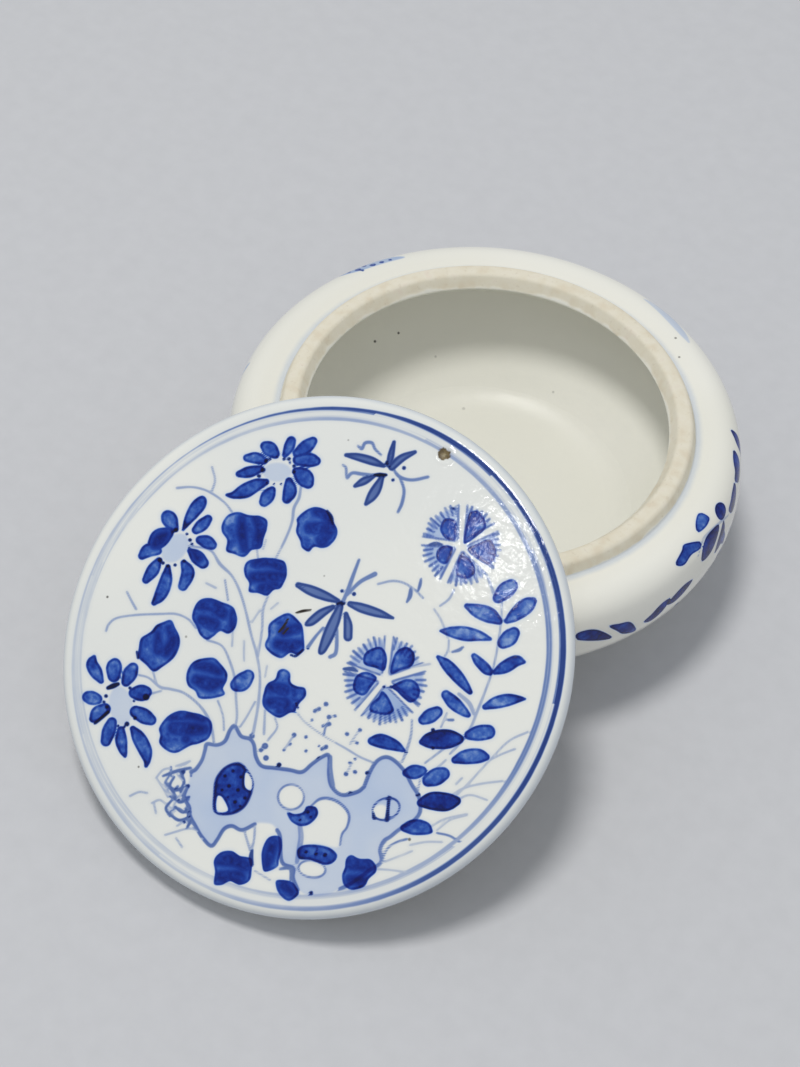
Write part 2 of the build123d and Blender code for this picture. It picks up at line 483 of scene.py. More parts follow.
# Long-rayed flowers: petals, pale middles and the dots round them
top.brush(FILL, 0.6, """
285,455,3 289,447,5.5 291,441,5;297,453,4.5 306,447,7 313,441,4.5;298,460,5.5 309,460,7.5
316,461,5;296,471,4 304,477,9 308,483,6;289,481,4 290,491,7.2 287,499,5;272,490,4 268,496,7
264,502,5;266,482,3.5 256,485,6.5 245,491,7.5 234,495,4 227,495,1.8;260,469,4 249,472,6
239,474,3.5;264,461,4 256,458,6 247,458,4;275,454,5 270,449,7.5 265,446,5;183,530,1.5 189,519,5
196.5,508,7.2 201,502,6 203,497,1.5;196,530,4.5 202,525,6.3 208,519,4.5;200,540,4.5 207,542,6.8
212,545,5;190,551,3 197,557,7 203,563,6;184,563,3.5 188,573,7 183,586,5;168,567,3 166,580,6.3
161,594,6.5 154,603,3;159,560,3 153,570,6.5 146,580,4;158,551,4 149,550,7 142,556,4;168,533,6
160,538,9.5 155,543,7.5;175,528,4 170,520,8 168,517,7;101,681,3 96,672,6.5 92,664,6
94,657,2.2;114,676,6.5 114,668,8 115,664,6;126,682,5 130,674,7.5 133,668,5.5;134,693,5.5 141,693,8.5
146,692,6;136,712,6.5 144,716,8 151,720,5.5;133,729,3.5 139,738,7 145,750,7 147,760,4
146,766,2;121,730,4 121,740,6.2 123,750,4.5 125,756,2;112,722,5 109,731,7 106,741,5.5;105,709,6
98,713,7 93,719,4;97,699,5.5 92,698,7 88,697,6
""")
for oval in ((277, 472, 15, 10, 0), (175, 548, 12, 17, 40), (121, 706, 12.5, 20, -8)):
    top.blot(WASH, 0.11, ring_of(*oval))
top.brush(DARK, 0.88, "166,534,4 160,539,7 155,544,5;193,552,3 198,558,5")
top.dots(LINE, 0.92, """
263,470,3.2 259,476,2.6 266,461,2.8 270,459,2.2 277,457,2 284,459,2.2 289,459,2.4 290,463,1.8
294,466,2.4 294,472,2.6 267,483,2.2 274,484,1.8 281,484,1.8 187,534,2 190,540,2.4 192,544,2
189,548,1.6 184,561,2.2 175,565,2.2 168,566,2.4 163,563,2.4 160,560,3 176,530,3 173,532,2 127,724,3
118,726,2 124,727,2 135,718,2.6 130,688,2.2 134,701,1.8 106,696,2.4 104,702,2 107,707,2.6 146,697,4
""")
top.brush(LINE, 0.95, "108,688,2 113,686,2.6 118,684,2;95,723,1.6 99,720,1.6 108,712,2")

# Lobed leaves, each with a heavier wash laid over part of it
top.blot(FILL, 0.56, """
171,620 175,628 180,638 179,648 174,658 164,666 154,672 146,665 138,657 139,648 141,638 150,632
156,625 163,622;200,600 210,598 222,602 233,607 237,618 235,629 228,634 220,631 214,636 207,640
200,635 196,626 192,618 194,608;194,661 204,658 214,658 220,663 227,672 227,680 223,688 225,694
219,697 208,699 199,698 195,691 188,686 186,678 188,669;166,718 178,711 190,712 202,715 211,721
212,730 208,739 198,744 190,746 176,753 166,750 159,743 160,735 159,728;270,623 278,617 289,613
300,622 303,630 304,640 304,650 297,655 290,653 282,658 274,656 267,650 265,644 268,636
268,628;278,671 284,669 290,673 291,682 297,686 305,688 306,696 300,703 296,710 297,713 290,713
280,718 271,714 263,706 263,695 267,684 275,679;244,568 248,561 260,558 268,558 278,559 285,562
287,572 286,578 281,588 274,590 267,596 258,593 249,592 249,583 245,576;222,524 228,515 238,512
249,515 260,516 267,520 267,528 264,538 261,548 252,550 244,557 234,554 226,551 227,540
222,532;297,518 306,510 316,507 326,510 331,518 337,529 336,538 329,546 322,548 314,547 309,552
302,548 300,541 296,532 297,524;214,860 221,852 232,851 240,856 247,857 252,859 252,867 250,880
240,885 230,881 222,885 214,884 215,872;269,837 280,837 282,847 279,860 277,867 265,872 262,865
262,850;277,880 290,881 296,886 299,894 289,901 280,895 276,886;346,859 351,855 360,859 370,859
376,865 376,872 369,879 364,887 352,890 344,885 342,875 345,867
""")
top.brush(FILL, 0.58, "237,685,7 242,682,9 248,676,6.5")
top.brush(DARK, 0.84, """
242,519,4.5 242,533,6.5 245,549,4.5;256,519,5 260,530,6.5 256,545,5;316,512,4.5 327,516,6 331,527,6
322,541,6.5;310,528,6 322,528,7;256,563,5.5 270,563,5 281,568,5;254,577,6 268,577,7
281,576,6;262,588,5.5 275,585,5.5;200,606,5 213,606,7 222,613,7;202,620,6 214,624,7;232,612,3.4
232,626,4;169,628,4 173,640,6 166,652,6;158,634,4 158,650,6;141,641,1.8 140,655,1.8;197,666,4.5
208,667,6 219,672,5;197,680,6 210,684,8 221,682,4.5;171,718,4 190,716,5 203,720,4.5;174,728,7
192,729,8 204,729,6;186,739,5 186,739,5;284,632,6 297,628,5.5;278,644,6 290,646,7
299,643,4.5;271,687,5.5 284,690,7;270,702,5.5 284,704,8;279,711,4 290,710,3;220,861,6 233,860,8
246,866,6;221,876,6.5 238,877,8;273,843,6 269,857,6 267,866,4;284,886,6 292,892,4.5;352,864,7
366,866,7;351,880,6 362,880,6
""")
top.brush(LINE, 0.9, """
327,511,1.4 331,517,2 333,524;303,650 296,656 291,655;296,703 298,708;137,652 138,658
""")
top.brush(LINE, 0.66, "252,850,1.6 251,858,2.4 252,865,1.8")

# Small leaves of the spray on the right
top.brush(FILL, 0.55, """
498,598,5.5 505,591,8.5 511,586,7;467,606,3 478,611,7 489,615,8 499,621,4;507,621,3 516,614,7
526,606,8 533,601,4;441,631,1.8 452,632,5.5 466,634,7.5 480,636,5 490,639,2;503,643,6 509,638,8.3
514,633,6.2;474,656,3 479,662,5 486,669,5.5 490,673,3;495,672,3 505,667,6.5 516,661,6
524,662,2;438,657,2 447,665,6 457,676,6.5 466,687,4.5 470,692,3;446,695,5 454,703,7 463,711,5
468,715,3;485,707,3 495,703,6 507,700,6.5 518,699,4 525,699,1.5;423,720,5 430,716,7.5
437,712,6;372,741,4.5 381,741,7.5 394,745,6 403,750,2.5;469,735,5 479,733,8 488,732,7.5;455,760,4
466,757,7.5 478,756,7.5 486,757,4;406,773,4 414,772,7.5 422,771,5;428,781,6 436,777,9
443,774,7;404,828,4 414,827,8 424,828,7 430,831,3
""")
top.brush(FILL, 0.8, """
422,742,3 432,740,8.5 446,739,10 457,739,6 461,739,3;421,803,4 432,801,9 445,802,9.5 456,801,5
""")

# Dragonflies
top.brush(LINE, 0.7, """
384,466,2 372,461,4.5 358,457,4 346,455,2;389,465,3 391,455,3.5 394,442,2;392,467,4 402,458,4
415,452,2;374,476,2 364,481,4 355,486,2;382,477,2.5 377,488,5 372,496,5 366,504,2;338,601,2.5
325,596,5 310,590,5.2 298,585,3;350,604,3 362,608,5 378,613,4.5 393,618,1.5;333,607,2.5 322,613,4.5
312,621,4.5 307,624,2.5;346,614,2.5 348,625,4.5 348,637,4.5;340,607,3.5 335,620,5.5 329,634,6
323,648,4.5 321,652,3
""")
top.brush(LINE, 0.96, """
374,475,1.4 380,475,2.1 386,475,1.5;387,463,2.1 391,467,2.5;338,604,2.1 343,603,2.5;338,611,1.7
337,616,2.7
""")
top.brush(LINE, 0.42, """
393,469,1.4 400,477,1.8 412,480,1.8 428,477,1.7;400,478,1.4 404,490,1.7 402,503,1.7
398,512,1.5;381,455,1.3 375,449,1.5 372,443,1.7 365,443,1.7 362,449,1.5 358,446,1.3;374,475,1.3
362,474,1.9 352,473,1.8 347,478,1.5 346,468,1.5 343,465,1.4;323,628,1.5 316,636,1.6
308,647,2;337,630,1.6 336,652,2 330,657,2;343,602,2 349,587,2 353,576,2 359,560,1.6;347,595,1.6
360,582,2 375,574,2.6
""")
top.dots(LINE, 0.78, "404,468,2.6 393,480,2.2 342,591,2.3 354,594,2.6 308,648,2.2")

# Fringed flowers: solid hearts of petals, pale gaps between them, a fringe of fine strokes
top.blot(FILL, 0.57, """
363,659 366,652 373,648 381,647 386,653 387,662 384,671 375,668 365,665;390,672 392,661 396,652
401,648 408,647 414,652 415,660 411,667 401,670 393,674;391,687 398,682 408,679 416,682 420,690
418,698 411,703 404,699 397,692;378,697 382,691 387,695 392,704 394,711 388,715 378,714 370,711
371,704;353,683 356,676 363,672 371,673 377,678 372,686 365,695 357,694 353,689;440,530 443,520
449,518 456,521 457,531 455,540 446,539;467,520 470,512 478,511 484,518 486,527 480,534 465,544
464,535;467,550 478,543 489,539 495,546 496,556 490,564 483,563;459,556 463,555 469,558 475,567
474,575 465,579 456,574 457,564;436,556 438,549 446,545 453,548 451,557 446,564 439,562
""")
fringe = 44


def spoke(flower, angle, *places):
    """Points along a direction, each as a share of the radius, an offset and a width."""
    x, y, rx, ry = flower
    c, s = cos(radians(angle)), sin(radians(angle))
    return [(x + rx * k * c - o * s, y + ry * k * s + o * c, *w) for k, o, *w in places]


for flower, gaps in (
    ((385, 680, 42, 45), (-84, -17, 42, 131, 197)),
    ((461, 545, 40, 41), (-87, -26, 42, 116, 186)),
):
    top.blot(WASH, 0.22, ring_of(*flower[:2], flower[2] * 0.92, flower[3] * 0.92, 0))
    for i in range(fringe):
        a = 360 * i / fringe + 0.8 * sin(5.1 * i)
        if min(abs((a - gap + 180) % 360 - 180) for gap in gaps) < 8:
            continue
        ends = (0.73 + 0.02 * sin(2.3 * i), 0), (0.96 + 0.03 * sin(1.7 * i), 0, 1.5)
        top.brush(LINE, 0.42 + 0.07 * sin(3.3 * i), spoke(flower, a, *ends))
    for gap in gaps:
        wedge = (0.05, -2.6), (1.0, -3.4), (1.0, 3.4), (0.05, 2.6)
        top.clear((WASH,), spoke(flower, gap, *wedge))
        for way in (-1, 1):
            side_line = (0.16, 3.4 * way), (0.5, 3.8 * way), (0.97, 4.4 * way)
            top.brush(LINE, 0.44, spoke(flower, gap, *side_line))
top.dots(LINE, 0.9, "384,687,2.2 391,687,2.2 462,554,2.2 453,509,2.2")
top.brush(LINE, 0.6, "430,545,1.8 436,544,2.4 442,545,1.4;344,669,1.6 352,669,2.4 357,671,1.4")

# Rock: pale body, pierced holes and its drawn edge
rock = listed("""
191,772 196,769 202,760 205,750 207,744 217,745 225,741 230,730 235,726 241,736 250,739 254,745
256,757 262,766 275,768 290,770 302,772 312,764 322,757 329,756 329,775 332,787 342,795 357,792
364,787 370,772 377,761 386,757 395,761 405,772 412,785 419,797 420,812 412,822 400,829 390,837
384,841 380,850 381,862 370,870 350,884 340,889 327,895 310,896 298,890 293,878 293,868 282,862
280,837 277,830 270,824 255,824 242,830 232,826 224,829 217,840 211,846 202,837 196,827 190,816
189,807 184,797 187,787
""")
top.blot(WASH, 0.125, rock)
circle_hole = ring_of(291, 797, 13, 12.5, 0)
mushroom = """
302,818 308,808 320,800 332,800 342,806 348,816 347,827 341,835 339,846 330,846 316,843 303,845
301,832
"""
low_oval = ring_of(312, 869, 13.5, 8.5, 8)
eye_hole = ring_of(386, 809, 14, 10.5, -22)
dark_hole = "215,812 214,795 216,779 226,767 239,763 247,770 253,782 250,797 242,809 230,814"
left_white = "217,797 222,797 228,808 226,812 217,811"
right_white = "246,772 252,780 251,790 245,786"
crescent = "287,812 295,814 303,812 307,806 316,807 318,815 310,824 300,826 291,821"
band = "297,850 304,845 318,845 330,848 337,855 334,862 325,865 310,860 299,859"
eye_white = ring_of(380, 812, 8, 7, -20)
top.clear((WASH,), circle_hole, mushroom, low_oval, eye_white, left_white, right_white)
top.blot(FILL, 0.72, dark_hole)
top.clear((FILL, WASH), left_white, right_white)
top.blot(FILL, 0.62, crescent, band)
top.outline(LINE, 0.42, 1.2, circle_hole, low_oval)
top.outline(LINE, 0.66, 1.0, eye_hole, dark_hole)
top.brush(LINE, 0.85, "389,797,1.6 388,809,1.8 387,820,2.2;373,813,1.4 374,818,2")
top.brush(LINE, 0.42, """
311,806 320,799,1.5 331,799,1.7 342,805,1.7 349,815,1.5 347,827 342,834 340,845
""")
top.brush(LINE, 0.3, "300,826,2.4 301,838,2.8 299,850,2.8 297,862,2.2")
rock_line = [(*p, 2.0) for p in rock]
for tone, first, last in ((0.46, 0, 25), (0.44, 24, 42), (0.46, 44, 50), (0.46, 51, None)):
    top.brush(LINE, tone, rock_line[first:last])
top.brush(LINE, 0.4, "330,757,2.4 330,770,2.8 333,786,2.2")
top.dots(LINE, 0.9, """
225,776,2.4 233,771,2.2 241,777,2.4 229,786,2.6 238,790,2.6 222,790,2.2 245,798,2.4 235,802,2.6
240,806,2 228,797,1.8 308,812,2.6 311,817,2.2 300,820,2 306,852,2.4 316,854,2.6 325,855,2.8
317,849,1.8 279,765,3 319,758,2.4 418,795,3 406,752,2.4 433,730,2.6 189,817,2.8 202,837,2.4
311,893,2.6 433,748,2.2 350,793,2.4 367,773,2.4
""")
top.dots(LINE, 0.52, """
265,746,3.8 261,750,2.8 266,758,3.4 326,704,3 319,709,2.8 315,711,2.8 329,717,3 335,716,2.4
329,724,3 323,726,2.4 312,720,2.2 294,735,3 306,737,2.4 290,744,2.4 284,750,2.2 306,751,2.4
319,746,2 326,747,3 322,749,2.6 347,734,2.8 360,730,2.6 357,743,2.4 346,774,3 355,772,2.8
355,759,2.2 350,763,2.4 252,736,3.4
""")

# Stems, tendrils, twigs and grass
top.brush(LINE, 0.29, """
189,546 210,550 220,564,1.8 232,576,1.4 240,592,1.4 246,612,1.4 251,634,1.4 257,656,1.4 260,678,1.4
258,706,1.6 253,734,1.6;301,486,1.4 299,498,1.6 294,508,1.6 292,522,1.4 286,538,1.4 276,558;268,596
263,610,1.4 262,630,1.4 258,656;139,675 149,678 160,687,1.6 170,689,1.4 184,693,1.4 198,704,1.4
207,716,1.6 212,730,1.6 214,743,1.4;150,694 161,691;153,672 157,685;106,631 109,624 117,618 136,615
160,614 176,614 188,619 196,628;207,640 222,646 230,662,1.4 235,680,1.4 236,698,1.4 237,716
235,728;127,592 131,600 136,609,1.4;177,488,1.4 190,487 202,489 213,494 225,503 232,512;212,467
215,480 212,491;225,580 228,600;257,550 258,558;378,584 392,581 404,583 415,590 423,598;454,590
449,599 440,606;488,578,1.6 494,594,1.8;218,701 223,716 224,730;502,600 501,622 497,650 492,672
483,697,1.4 477,712,1.6 471,727,1.6 462,741,1.4 450,754;450,744 437,754 425,763;412,720 411,735,1.4
406,752,1.6 402,762;449,640 448,650 445,656;459,694,2 469,703,2.2 474,714,1.8;420,780
417,796;447,713 441,727;244,830 247,840 250,850,1.4;255,826 254,840 252,848,1.4;275,718 277,728
268,740;265,710 264,734,1.4;255,702 246,718 240,727
""")
top.brush(LINE, 0.45, """
411,589,1.8 410,596,2.2 407,602;421,579 420,585,1.8 418,591;452,652 459,650,1.8 463,647;448,720,1.4
453,720,1.6;280,869 290,869,1.6 291,880,1.6;382,860 388,848 397,842 407,839;380,847 390,837
400,829;437,833 450,836 462,844,1.8;184,790 183,800,1.6;168,814 176,808 184,812,1.6;189,806,1.8
189,821,2.2;169,776 165,784 172,790 178,786;191,776 191,768;171,767 171,776,1.4;324,734 326,724
""")
top.brush(LINE, 0.24, """
298,714 306,723 324,736 345,748 360,757 372,762;350,744 358,732;346,774 352,763;294,735
284,750;156,778 163,770 171,768;176,766 184,764,1.8 190,761;157,779 163,788 168,797;165,784 169,794
176,801;178,775 184,783 183,791 176,801 172,811;152,803 160,800 168,806 174,812;154,804
156,813;165,835 175,832 186,829 196,830 203,840;176,838 182,847;130,796 139,792 147,793;183,822
177,826
""")
top.brush(LINE, 0.52, """
163,776,1.3 177,771,1.8 190,768,1.5;166,783,1.4 175,790,1.8 187,786,1.4;170,796,1.4 180,802,1.8
189,797,1.4;174,806,1.4 183,812,1.8 190,808,1.4;168,812,1.3 178,820,1.7 188,818,1.3;180,771,1.4
184,782,1.7 181,792,1.5 188,800,1.4;174,777,1.3 170,786,1.5 176,797,1.4;186,808,1.4 190,820,1.8
187,828,1.4;172,800,1.3 166,808,1.5 170,816,1.3
""")
top.dots(LINE, 0.76, "183,772,2.8 188,786,2.6 178,800,2.6 189,812,3 184,822,2.4 176,789,2.2")
top.brush(LINE, 0.21, """
430,827 445,819 467,814;440,805 460,790 480,784 503,781;457,795 468,784 490,760 509,741
528,732;490,760 502,754 515,749;457,800 470,795 487,800;437,830 450,820 467,815;384,862 400,856
412,851;410,845 426,842 442,842;376,869 390,870 405,872;434,609 441,620 448,638;278,603
271,609;260,610 252,622;267,666 265,677;244,641 244,661;233,628 232,646;266,540 263,549;462,778
456,784;407,668 430,664,1.4;255,871 270,880;446,760 437,768;206,583 216,588
""")

# Two rings near the edge, in millimetres. Rows: angle on the lid in degrees,
# outer radius, half width and tone, inner radius, half width and tone, band tone
ring_rows = np.array(listed("""
-180,35.75,0.2,0.2,34.6,0.16,0.17,0.1 -150,35.98,0.22,0.17,34.83,0.18,0.14,0.11
-120,36.18,0.22,0.16,34.88,0.18,0.13,0.1 -90,36.45,0.24,0.17,34.95,0.2,0.16,0.08
-75,36.6,0.26,0.26,34.88,0.22,0.18,0.06 -45,36.62,0.3,0.42,34.82,0.3,0.24,0.05
-30,36.62,0.34,0.62,34.76,0.34,0.28,0.05 0,36.55,0.38,0.7,34.6,0.4,0.4,0.07
30,36.5,0.4,0.7,34.55,0.4,0.42,0.08 60,36.32,0.38,0.72,34.4,0.34,0.34,0.12
90,36.1,0.34,0.72,34.25,0.26,0.28,0.08 105,35.85,0.26,0.64,34.18,0.26,0.28,0.07
120,35.68,0.23,0.6,34.12,0.24,0.24,0.06 135,35.58,0.2,0.5,34.18,0.2,0.2,0.06
150,35.52,0.17,0.34,34.22,0.17,0.18,0.07 165,35.56,0.18,0.22,34.31,0.16,0.17,0.09
180,35.75,0.2,0.2,34.6,0.16,0.17,0.1
"""))
px_per_mm = 6.9
ring_at = np.nonzero(on_top & (lid_r > 32))[0]
spin = np.degrees(np.arctan2(lid_local[ring_at, 1], lid_local[ring_at, 0]))
outer_r, outer_w, outer_tone, inner_r, inner_w, inner_tone, band_tone = (
    np.interp(spin, ring_rows[:, 0], ring_rows[:, k]) for k in range(1, 8)
)
for radius, half, tone in (
    (outer_r, outer_w, outer_tone),
    (inner_r, inner_w, inner_tone),
    ((outer_r + inner_r) / 2, (outer_r - inner_r) / 2 - outer_w, band_tone),
):
    top.put(ring_at, (np.abs(lid_r[ring_at] - radius) - half) * px_per_mm, LINE, tone)

# Marks as distances too: channel 0 is scratches, 1 the glaze pit, 2 bare clay, 3 pooled glaze on
# the box and painted shade round the lid's edge
scratches = """
296,613,1.1 303,611,1.6 311,610,1.1;279,632,1.1 284,626,1.5 288,619,1.1;283,634,1.1 288,628,1.3
"""
for stroke in rows([scratches]):
    top.mark(0, *top.brush_distance(stroke))
pit = np.array((444.5, 454.5))
pit_radius, pit_depth, lip_height = 6.5, 0.3, 0.07
pit_at = top.near(pit - 12, pit + 12)
pit_d = np.hypot(*(lid_flat[pit_at] - pit).T)
top.mark(1, pit_at, pit_d - pit_radius)
bowl = np.clip(1 - pit_d / (pit_radius + 1), 0, 1) ** 0.6
lip = np.exp(-(((pit_d - pit_radius - 2) / 2) ** 2))
lid_local[pit_at, 2] += lip_height * lip - pit_depth * bowl
top.marks[:, 2] = np.where(lid_z < 3, (lid_z - 0.35) * 4, FAR)
# Channel 3 on the lid is painted shade: a grey-blue tint over its rounded edge and side
top.marks[:, 3] = np.where(lid_z > 3, (37.0 - lid_r) * 4 + 2.6, FAR)
lid = make_mesh("lid_glazed", lid_origin + lid_local @ lid_axes, lid_faces, top.attributes())

# Box mesh: its section turned round the axis, row after row
box_sectors = 600
section = np.array(box_section)
box_r, box_z = np.repeat(section, box_sectors, axis=0).T
box_a = np.tile(np.arange(box_sectors) * 2 * np.pi / box_sectors, len(section))
row_of = np.repeat(np.arange(len(section)), box_sectors)
length = np.concatenate(([0], np.cumsum(np.hypot(*np.diff(section, axis=0).T))))
seat_row, foot_row = (np.argmin(np.hypot(*(section - p).T)) for p in (neck_base, foot_joint))
box_points = np.stack((box_r * np.cos(box_a), box_r * np.sin(box_a), box_z), axis=1)

# The side is painted unrolled: x round the belly from +X and y up from the foot, 0.1 mm steps
side_x = np.where(box_a > np.pi, box_a - 2 * np.pi, box_a) * belly_radius * 10
side_y = (length[row_of] - length[foot_row]) * 10
side = Painting(np.stack((side_x, side_y), axis=1), (row_of >= foot_row) & (row_of <= seat_row))

# Leaves that the photograph shows at the right, and the washes on the far shoulder
side.brush(FILL, 0.84, """
211,308,3 204,298,8 194,288,10 185,272,3;168,303,4 152,293,12 136,286,12 120,291,4;109,290,4
94,280,12 80,276,12 66,281,4;37,281,3 30,268,9 18,257,10 3,249,3;-66,248,3 -84,246,9 -104,242,9
-119,241,3;-119,250,3 -134,242,10 -150,234,9 -165,234,3
""")
side.blot(FILL, 0.84, ring_of(43, 299, 15, 13, 0, 8), """
23,289 7,272 -15,262 -39,267 -35,285 -19,296 3,296;-232,262 -213,258 -197,253 -187,240 -181,220
-205,230 -217,244;-284,267 -260,267 -240,253 -224,232 -244,236 -272,248 -284,255
""")
side.blot(FILL, 0.62, """
11,327 15,312 7,308 -7,308 -23,312 -19,320 -3,327;-94,304 -71,312 -59,316 -35,304 -31,297 -39,292
-59,296 -78,292 -90,296
""")
side.brush(LINE, 0.2, "58,276,2 23,291,2.4 -23,299,2.2 -48,284,1.8")
side.brush(WASH, 0.24, """
1112,304,3 1084,309,10 1049,312,11 1014,316,8 996,321,3;-1160,296,3 -1150,286,6 -1140,277,3
""")
side.brush(WASH, 0.13, "540,314,3 517,309,10 481,312,11 442,317,8 416,320,3")
side.dots(LINE, 0.6, """
1081,312,6 1053,316,6 1077,321,4 1066,308,5 1036,317,5 1096,307,4 1020,318,4
""")


def spray(x, y, heading, leaves, lean_out, length, tone):
    """A curved stem from x, y with pairs of leaves, its heading in degrees."""
    stem = [(x, y, 1.6)]
    for k in range(int(leaves) + 1):
        x, y = on_arc((x, y), length * 0.62, heading)
        stem.append((x, y, 1.5))
        for way in (-1, 1) if k < leaves else (0,):
            leaf = length * (1.0 - 0.09 * k)
            turned = heading + way * (48 - 4 * k)
            points = [
                (*on_arc((x, y), leaf * t, turned), leaf * w)
                for t, w in ((0.16, 0.06), (0.42, 0.19), (0.68, 0.17), (0.95, 0.04))
            ]
            side.brush(FILL, tone + (0.16 if (k + way) % 3 == 0 else 0), points)
        heading += lean_out
    side.brush(LINE, 0.3, stem)


# Sprays and round flowers on the lower side, guessed: the photograph doesn't show it
for row in listed("""
40,96,76,3,10,56,0.66 -40,100,128,2,-10,50,0.62 205,96,104,3,-9,56,0.66 -170,76,98,2,8,46,0.66
-330,76,70,2,12,48,0.64 -500,130,12,3,9,58,0.66 -790,118,150,4,-11,60,0.66 -1010,120,40,3,12,58,0.7
430,112,30,4,10,58,0.66 800,112,145,4,-10,60,0.68 930,112,34,3,10,58,0.68 1200,112,120,3,-10,56,0.7
"""):
    spray(*row)
for x, y in ((-640, 196), (-905, 206), (350, 190), (690, 196)):
    side.blot(FILL, 0.58, ring_of(x, y, 34, 27, 15, 7))
    side.brush(DARK, 0.84, [(x - 12, y + 4, 8), (x + 8, y + 6, 10)])
    side.brush(DARK, 0.84, [(x - 4, y - 10, 8), (x + 10, y - 8, 6)])
    side.brush(LINE, 0.3, [(x - 4, y - 26, 1.5), (x - 12, y - 60, 1.5), (x - 34, y - 96, 1.5)])

# Bare clay on the neck and under the foot ring, glaze pooled where the neck meets the seat
neck_shift = 0.12 * np.sin(7 * box_a) + 0.08 * np.sin(17 * box_a + 1) + 0.05 * np.sin(41 * box_a)
in_neck = (row_of > seat_row) & (box_z > mouth_height - 1.0) & (box_r > mouth_radius - 0.4)
under_foot = (row_of < foot_row) & (box_z < 0.9) & (box_r > foot_radius - foot_width - 0.2)
bare_neck = -np.minimum(box_z - mouth_height - 0.35 + neck_shift, 2.0) * 3
bare_foot = (box_z - 0.45) * 6
side.marks[:, 2] = np.select((under_foot, in_neck), (bare_foot, bare_neck), FAR)
pool = np.hypot(box_r - neck_base_radius - 0.25, box_z - mouth_height) - 0.35
side.marks[:, 3] = np.where(row_of <= seat_row + 6, pool * 4, FAR)
side.marks = np.clip(side.marks, -FAR, FAR)

box_faces = [q[::-1] for q in bands(0, len(section), box_sectors)]
box_faces += fan(np.arange(box_sectors), len(box_points), True)
box_faces += fan(np.arange(-box_sectors, 0) + len(box_points), len(box_points) + 1, False)
box_verts = np.vstack((box_points, [(0, 0, base_recess), (0, 0, floor_height)]))
box = make_mesh("box_glazed", box_verts, box_faces, side.attributes())


def linear(*color):
    """A colour of 0 to 255 as the shaders take it."""
    rgb = [((c / 255 + 0.055) / 1.055) ** 2.4 if c > 10 else c / 255 / 12.92 for c in color]
    return (*rgb, 1.0)


class Nodes:
    """A material's nodes, with a method for each kind that is used."""

    def __init__(self, name):
        self.material = bpy.data.materials.new(name)
        self.material.use_nodes = True
        self.tree = self.material.node_tree
        self.tree.nodes.clear()

    def add(self, kind, inputs=(), **settings):
        """A node with values or links for its inputs, by name or number."""
        node = self.tree.nodes.new("ShaderNode" + kind)
        for key, value in settings.items():
            setattr(node, key, value)
        for key, value in dict(inputs).items():
            if isinstance(value, bpy.types.NodeSocket):
                self.tree.links.new(value, node.inputs[key])
            else:
                node.inputs[key].default_value = value
        return node

    def math(self, operation, *values, clamp=False):
        node = self.add("Math", enumerate(values), operation=operation, use_clamp=clamp)
        return node.outputs[0]

    def scaled(self, value, factor, offset=0.0):
        return self.math("MULTIPLY_ADD", value, factor, offset)

    def mix(self, factor, a, b):
        return self.add("Mix", {0: factor, 2: a, 3: b}).outputs[0]

    def mix_color(self, factor, a, b, blend="MIX"):
        inputs = {0: factor, 6: a, 7: b}
        return self.add("Mix", inputs, data_type="RGBA", blend_type=blend).outputs[2]

    def noise(self, scale, detail, vector):
        inputs = {"Scale": scale, "Detail": detail, "Vector": vector}
        return self.add("TexNoise", inputs).outputs["Fac"]

    def ramp(self, value, *stops):
        """A colour ramp from rows of position, red, green and blue."""
        node = self.add("ValToRGB", {"Fac": value})
        elements = node.color_ramp.elements
        while len(elements) < len(stops):
            elements.new(0.5)
        for element, (position, *color) in zip(elements, stops):
            element.position = position
            element.color = linear(*color)
        return node.outputs["Color"]

    def fade(self, value, low, high):
        """1 below low, 0 above high."""
        inputs = {"Value": value, "From Min": low, "From Max": high, "To Min": 1.0, "To Max": 0.0}
        return self.add("MapRange", inputs, interpolation_type="SMOOTHSTEP").outputs["Result"]

    def reach(self, coords, place):
        """The distance from a place, in metres."""
        return self.add("VectorMath", {0: coords, 1: place}, operation="DISTANCE").outputs["Value"]

    def attribute(self, name):
        """The four channels of a colour attribute of the mesh."""
        node = self.add("Attribute", attribute_name=name)
        split = self.add("SeparateColor", {"Color": node.outputs["Color"]})
        return [*split.outputs[:3], node.outputs["Alpha"]]

    def surface(self, color, roughness, level, **more):
        """The shader, on which the material ends."""
        inputs = {"Base Color": color, "Roughness": roughness, "Specular IOR Level": level, **more}
        shader = self.add("BsdfPrincipled", inputs)
        self.add("OutputMaterial", {"Surface": shader.outputs[0]})
        return self.material


